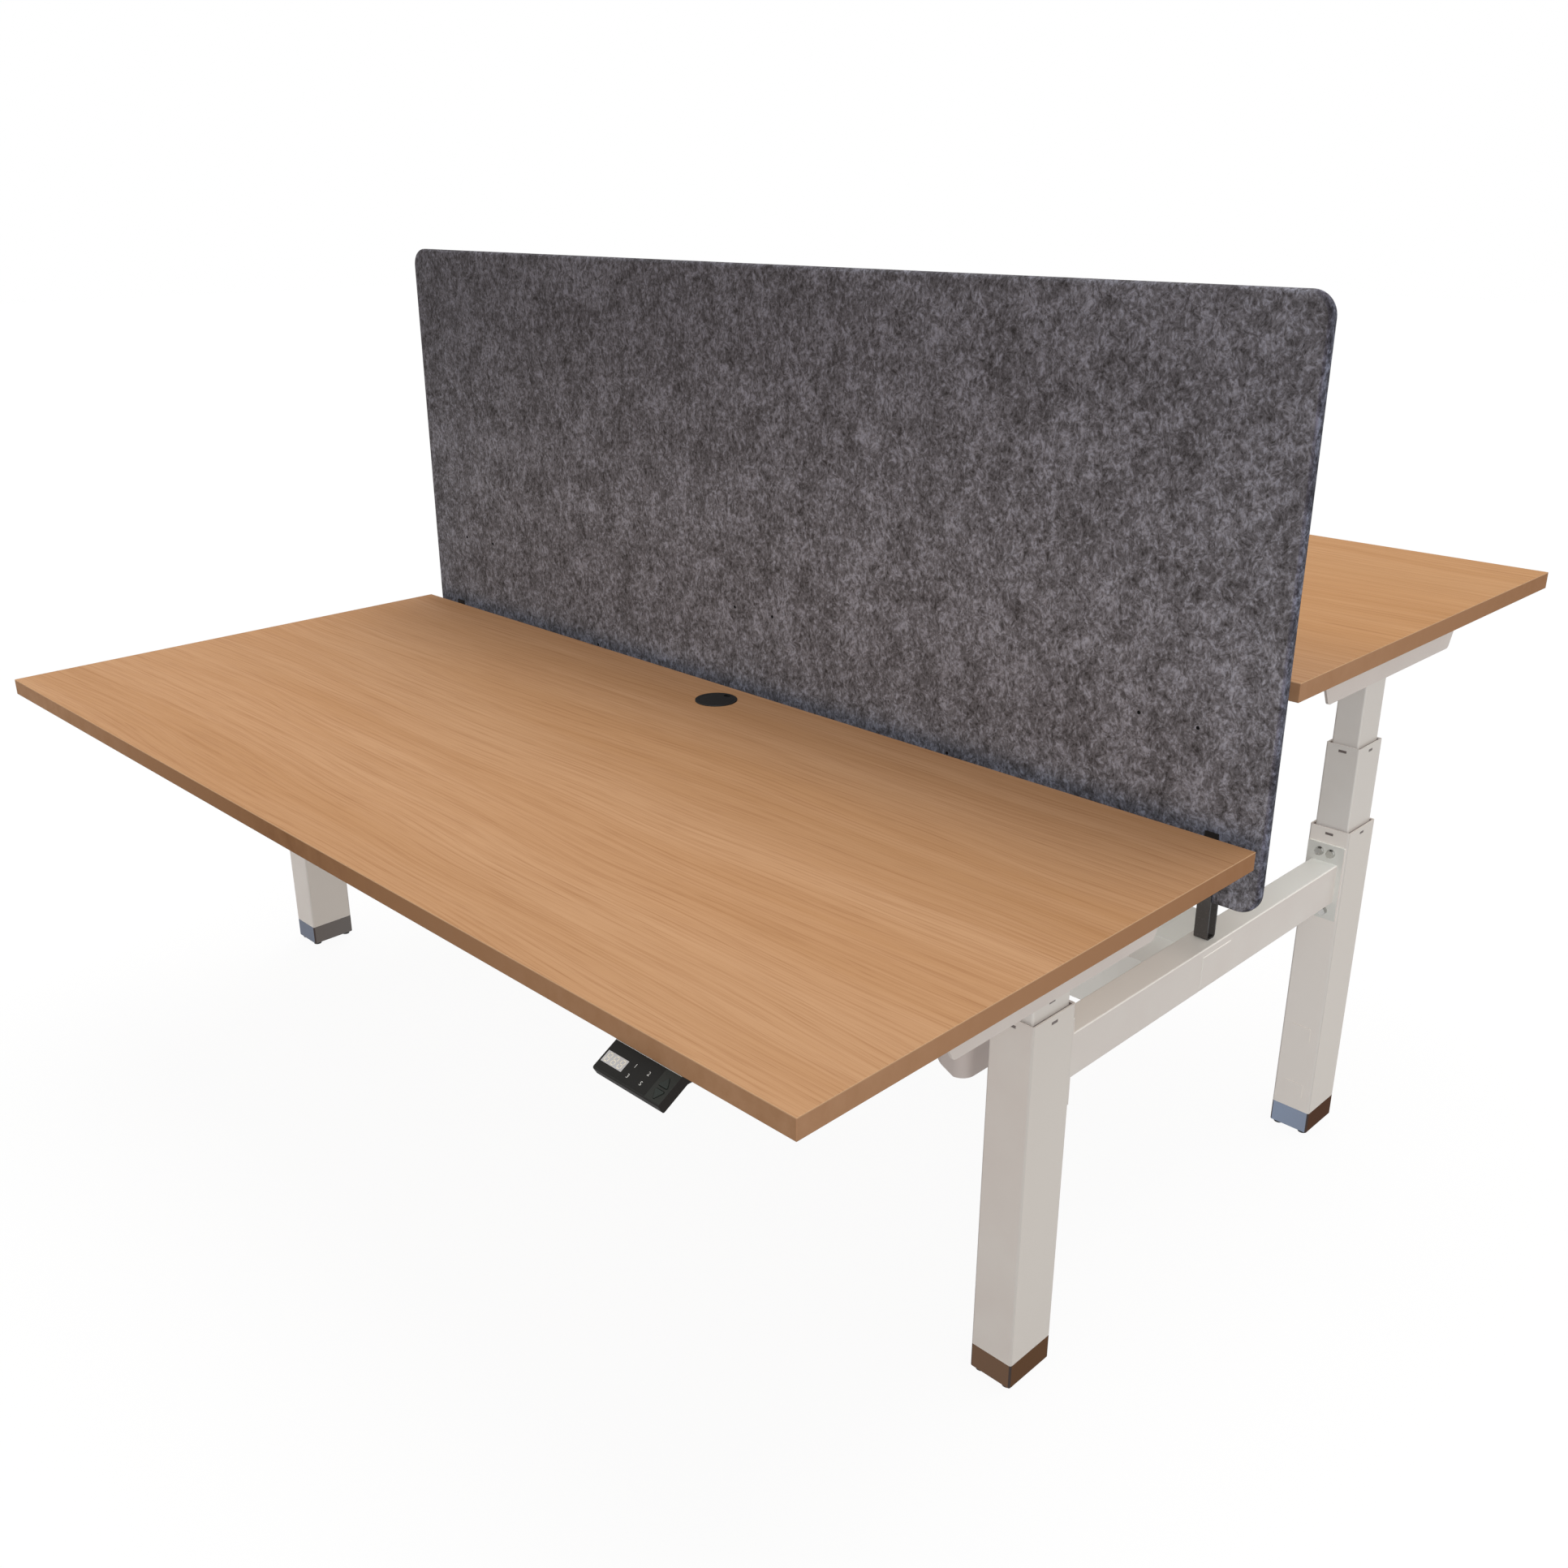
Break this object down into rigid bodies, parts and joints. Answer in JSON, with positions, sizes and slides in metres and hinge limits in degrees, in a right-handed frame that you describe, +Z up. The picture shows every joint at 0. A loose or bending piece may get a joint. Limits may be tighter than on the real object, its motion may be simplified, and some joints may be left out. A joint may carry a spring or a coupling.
{
  "type": "two-person sit-stand bench desk",
  "caption": "Back-to-back electric sit-stand bench desk with beech tops, telescopic columns, side beams, cable tray and a felt screen between the users.",
  "frame": {"origin": "floor level, in the middle of the footprint, as the picture shows the two heights", "axes": "+X along the desktops, +Y from the front desk to the rear desk, +Z up"},
  "size_m": [1.8, 1.7226, 1.2575],
  "materials": {
    "wood": "matt beech laminate",
    "frame_paint": "warm white powder coat",
    "cast_housing": "warm white powder coat",
    "pale_plastic": "pale moulded plastic",
    "steel": "zinc-plated",
    "black_plastic": "black moulded plastic",
    "foot_chrome": "dark chrome",
    "pad_rubber": "black rubber",
    "felt": "pressed grey felt",
    "black_paint": "gloss black"
  },
  "bodies": {
    "base": {"outer_column_front_left": "frame_paint", "outer_column_front_right": "frame_paint", "outer_column_rear_left": "frame_paint", "outer_column_rear_right": "frame_paint", "foot_caps": "foot_chrome", "foot_pads": "pad_rubber", "outer_glides": "black_plastic", "lower_nut_tubes": "steel", "side_beam_left": "frame_paint", "side_beam_right": "frame_paint", "frame_bolts": "steel", "cable_tray": "frame_paint", "screen_panel": "felt", "screen_brackets": "black_paint", "screen_bolts": "black_paint"},
    "front_desk": {"inner_stage_front_left": "frame_paint", "inner_stage_front_right": "frame_paint", "desktop_front": "wood", "side_rails_front": "frame_paint", "crossbars_front": "frame_paint", "gearboxes_front": "cast_housing", "motor_housing_front": "pale_plastic", "desk_screws_front": "steel", "control_box_front": "black_plastic", "grommet_sleeve_front": "black_plastic", "handset_front": "black_plastic"},
    "front_mid_stages": {"mid_stage_front_left": "frame_paint", "mid_stage_front_right": "frame_paint", "mid_glides_front": "black_plastic"},
    "drive_spindle_front_left": {"drive_spindle_front_left": "steel"},
    "hollow_spindle_front_left": {"hollow_spindle_front_left": "steel"},
    "drive_spindle_front_right": {"drive_spindle_front_right": "steel"},
    "hollow_spindle_front_right": {"hollow_spindle_front_right": "steel"},
    "drive_shaft_front": {"drive_shaft_front": "steel"},
    "up_key_front": {"up_key_front": "black_plastic"},
    "down_key_front": {"down_key_front": "black_plastic"},
    "grommet_cap_front": {"grommet_cap_front": "black_plastic"},
    "rear_desk": {"inner_stage_rear_left": "frame_paint", "inner_stage_rear_right": "frame_paint", "desktop_rear": "wood", "side_rails_rear": "frame_paint", "crossbars_rear": "frame_paint", "gearboxes_rear": "cast_housing", "motor_housing_rear": "pale_plastic", "desk_screws_rear": "steel", "control_box_rear": "black_plastic", "grommet_sleeve_rear": "black_plastic", "handset_rear": "black_plastic"},
    "rear_mid_stages": {"mid_stage_rear_left": "frame_paint", "mid_stage_rear_right": "frame_paint", "mid_glides_rear": "black_plastic"},
    "drive_spindle_rear_left": {"drive_spindle_rear_left": "steel"},
    "hollow_spindle_rear_left": {"hollow_spindle_rear_left": "steel"},
    "drive_spindle_rear_right": {"drive_spindle_rear_right": "steel"},
    "hollow_spindle_rear_right": {"hollow_spindle_rear_right": "steel"},
    "drive_shaft_rear": {"drive_shaft_rear": "steel"},
    "up_key_rear": {"up_key_rear": "black_plastic"},
    "down_key_rear": {"down_key_rear": "black_plastic"},
    "grommet_cap_rear": {"grommet_cap_rear": "black_plastic"}
  },
  "joints": [
    {"name": "front_lift", "type": "slide", "parent": "base", "child": "front_desk", "axis": [0, 0, 1], "range_m": [0, 0.65]},
    {"name": "front_mid_lift", "type": "slide", "parent": "base", "child": "front_mid_stages", "axis": [0, 0, 1], "range_m": [0, 0.325]},
    {"name": "drive_spindle_front_left_turn", "type": "hinge", "parent": "front_desk", "child": "drive_spindle_front_left", "pos_m": [-0.828, -0.377, 0.3], "axis": [0, 0, 1], "range_deg": [-5, 14630]},
    {"name": "hollow_spindle_front_left_turn", "type": "hinge", "parent": "front_mid_stages", "child": "hollow_spindle_front_left", "pos_m": [-0.828, -0.377, 0.3], "axis": [0, 0, 1], "range_deg": [-5, 7318]},
    {"name": "drive_spindle_front_right_turn", "type": "hinge", "parent": "front_desk", "child": "drive_spindle_front_right", "pos_m": [0.828, -0.377, 0.3], "axis": [0, 0, 1], "range_deg": [-5, 14630]},
    {"name": "hollow_spindle_front_right_turn", "type": "hinge", "parent": "front_mid_stages", "child": "hollow_spindle_front_right", "pos_m": [0.828, -0.377, 0.3], "axis": [0, 0, 1], "range_deg": [-5, 7318]},
    {"name": "drive_shaft_front_turn", "type": "hinge", "parent": "front_desk", "child": "drive_shaft_front", "pos_m": [0, -0.377, 0.5595], "axis": [1, 0, 0], "range_deg": [-5, 14630]},
    {"name": "up_key_front_press", "type": "slide", "parent": "front_desk", "child": "up_key_front", "axis": [0, -0.5, 0.866], "range_m": [-0.0008, 0], "stiffness_N_per_m": 1500, "springref_m": 0.0004},
    {"name": "down_key_front_press", "type": "slide", "parent": "front_desk", "child": "down_key_front", "axis": [0, -0.5, 0.866], "range_m": [-0.0008, 0], "stiffness_N_per_m": 1500, "springref_m": 0.0004},
    {"name": "grommet_cap_front_turn", "type": "hinge", "parent": "front_desk", "child": "grommet_cap_front", "pos_m": [0, -0.091, 0.6], "axis": [0, 0, 1], "continuous": true},
    {"name": "rear_lift", "type": "slide", "parent": "base", "child": "rear_desk", "axis": [0, 0, 1], "range_m": [-0.2005, 0.4495]},
    {"name": "rear_mid_lift", "type": "slide", "parent": "base", "child": "rear_mid_stages", "axis": [0, 0, 1], "range_m": [-0.10025, 0.22475]},
    {"name": "drive_spindle_rear_left_turn", "type": "hinge", "parent": "rear_desk", "child": "drive_spindle_rear_left", "pos_m": [-0.828, 0.377, 0.3], "axis": [0, 0, 1], "range_deg": [-4517, 10119]},
    {"name": "hollow_spindle_rear_left_turn", "type": "hinge", "parent": "rear_mid_stages", "child": "hollow_spindle_rear_left", "pos_m": [-0.828, 0.377, 0.3], "axis": [0, 0, 1], "range_deg": [-2261, 5062]},
    {"name": "drive_spindle_rear_right_turn", "type": "hinge", "parent": "rear_desk", "child": "drive_spindle_rear_right", "pos_m": [0.828, 0.377, 0.3], "axis": [0, 0, 1], "range_deg": [-4517, 10119]},
    {"name": "hollow_spindle_rear_right_turn", "type": "hinge", "parent": "rear_mid_stages", "child": "hollow_spindle_rear_right", "pos_m": [0.828, 0.377, 0.3], "axis": [0, 0, 1], "range_deg": [-2261, 5062]},
    {"name": "drive_shaft_rear_turn", "type": "hinge", "parent": "rear_desk", "child": "drive_shaft_rear", "pos_m": [0, 0.377, 0.76], "axis": [1, 0, 0], "range_deg": [-4517, 10119]},
    {"name": "up_key_rear_press", "type": "slide", "parent": "rear_desk", "child": "up_key_rear", "axis": [0, 0.5, 0.866], "range_m": [-0.0008, 0], "stiffness_N_per_m": 1500, "springref_m": 0.0004},
    {"name": "down_key_rear_press", "type": "slide", "parent": "rear_desk", "child": "down_key_rear", "axis": [0, 0.5, 0.866], "range_m": [-0.0008, 0], "stiffness_N_per_m": 1500, "springref_m": 0.0004},
    {"name": "grommet_cap_rear_turn", "type": "hinge", "parent": "rear_desk", "child": "grommet_cap_rear", "pos_m": [0, 0.091, 0.8005], "axis": [0, 0, 1], "continuous": true}
  ],
  "couplings": [
    {"joint": "front_mid_lift", "follows": "front_lift", "ratio": 0.5},
    {"joint": "drive_spindle_front_left_turn", "follows": "front_lift", "rad_per_m": 392.7},
    {"joint": "hollow_spindle_front_left_turn", "follows": "front_lift", "rad_per_m": 196.35},
    {"joint": "drive_spindle_front_right_turn", "follows": "front_lift", "rad_per_m": 392.7},
    {"joint": "hollow_spindle_front_right_turn", "follows": "front_lift", "rad_per_m": 196.35},
    {"joint": "drive_shaft_front_turn", "follows": "front_lift", "rad_per_m": 392.7},
    {"joint": "rear_mid_lift", "follows": "rear_lift", "ratio": 0.5},
    {"joint": "drive_spindle_rear_left_turn", "follows": "rear_lift", "rad_per_m": 392.7},
    {"joint": "hollow_spindle_rear_left_turn", "follows": "rear_lift", "rad_per_m": 196.35},
    {"joint": "drive_spindle_rear_right_turn", "follows": "rear_lift", "rad_per_m": 392.7},
    {"joint": "hollow_spindle_rear_right_turn", "follows": "rear_lift", "rad_per_m": 196.35},
    {"joint": "drive_shaft_rear_turn", "follows": "rear_lift", "rad_per_m": 392.7}
  ]
}
